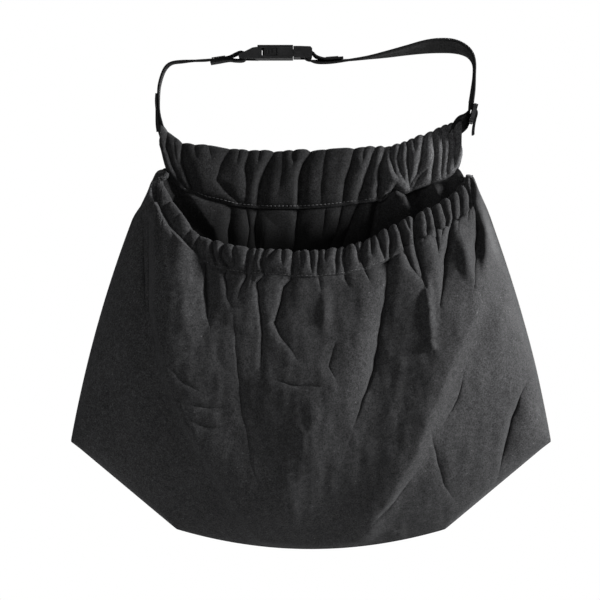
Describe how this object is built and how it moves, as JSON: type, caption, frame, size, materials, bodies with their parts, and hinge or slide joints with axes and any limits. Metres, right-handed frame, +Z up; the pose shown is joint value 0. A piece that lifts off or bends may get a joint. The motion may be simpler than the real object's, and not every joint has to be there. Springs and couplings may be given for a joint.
{
  "type": "waist-belted gathering pouch",
  "caption": "Charcoal canvas waist pouch with an elastic gathered mouth, a gathered waistband and a webbing belt with a side-release buckle.",
  "frame": {"origin": "The middle of the waistband's rear face, where it rests on the wearer's waist.", "axes": "+X runs to the right seen from the front, +Y points back to the wearer, +Z is up."},
  "size_m": [0.386, 0.09, 0.4074],
  "materials": {
    "canvas_back": "matte woven cotton canvas",
    "canvas_front": "matte woven cotton canvas",
    "canvas_rim": "matte woven cotton canvas, gathered",
    "canvas_band": "matte woven cotton canvas, gathered",
    "elastic": "woven elastic tape",
    "thread": "spun polyester thread",
    "webbing": "flat woven nylon webbing",
    "buckle_plastic": "moulded, fine satin",
    "latch_plastic": "moulded, fine satin",
    "slider_plastic": "moulded, polished edges"
  },
  "bodies": {
    "pouch": {"back_panel": "canvas_back", "front_panel": "canvas_front", "rim_casing": "canvas_rim", "rim_elastic": "elastic", "rim_stitching": "thread", "waistband_casing": "canvas_band", "waistband_webbing": "webbing", "waistband_stitching": "thread"},
    "belt": {"belt_left_webbing": "webbing", "belt_left_lap": "webbing", "belt_left_box_stitch": "thread", "belt_right_webbing": "webbing", "belt_right_box_stitch": "thread", "buckle_housing": "buckle_plastic"},
    "plug": {"buckle_plug": "buckle_plastic"},
    "front_latch": {"latch_arm_front": "latch_plastic"},
    "back_latch": {"latch_arm_back": "latch_plastic"},
    "slider": {"belt_slider": "slider_plastic", "belt_tail": "webbing"}
  },
  "joints": [
    {"name": "belt_swing", "type": "hinge", "parent": "pouch", "child": "belt", "pos_m": [0, -0.0035, 0.042], "axis": [-1, 0, 0], "range_deg": [0, 95]},
    {"name": "buckle_release", "type": "slide", "parent": "belt", "child": "plug", "axis": [1, 0, 0], "range_m": [0, 0.027], "deforming": ["belt_right_webbing", "belt_right_box_stitch", "latch_arm_front", "latch_arm_back"]},
    {"name": "latch_front_press", "type": "hinge", "parent": "plug", "child": "front_latch", "pos_m": [-0.0159, -0.0145, 0.1022], "axis": [0, 0, -1], "range_deg": [0, 9], "stiffness_Nm_per_rad": 0.2},
    {"name": "latch_back_press", "type": "hinge", "parent": "plug", "child": "back_latch", "pos_m": [-0.0159, 0.0075, 0.1022], "axis": [0, 0, 1], "range_deg": [0, 9], "stiffness_Nm_per_rad": 0.2},
    {"name": "slider_adjust", "type": "slide", "parent": "belt", "child": "slider", "axis": [0.2672, 0, 0.9636], "range_m": [-0.004, 0.01]}
  ]
}
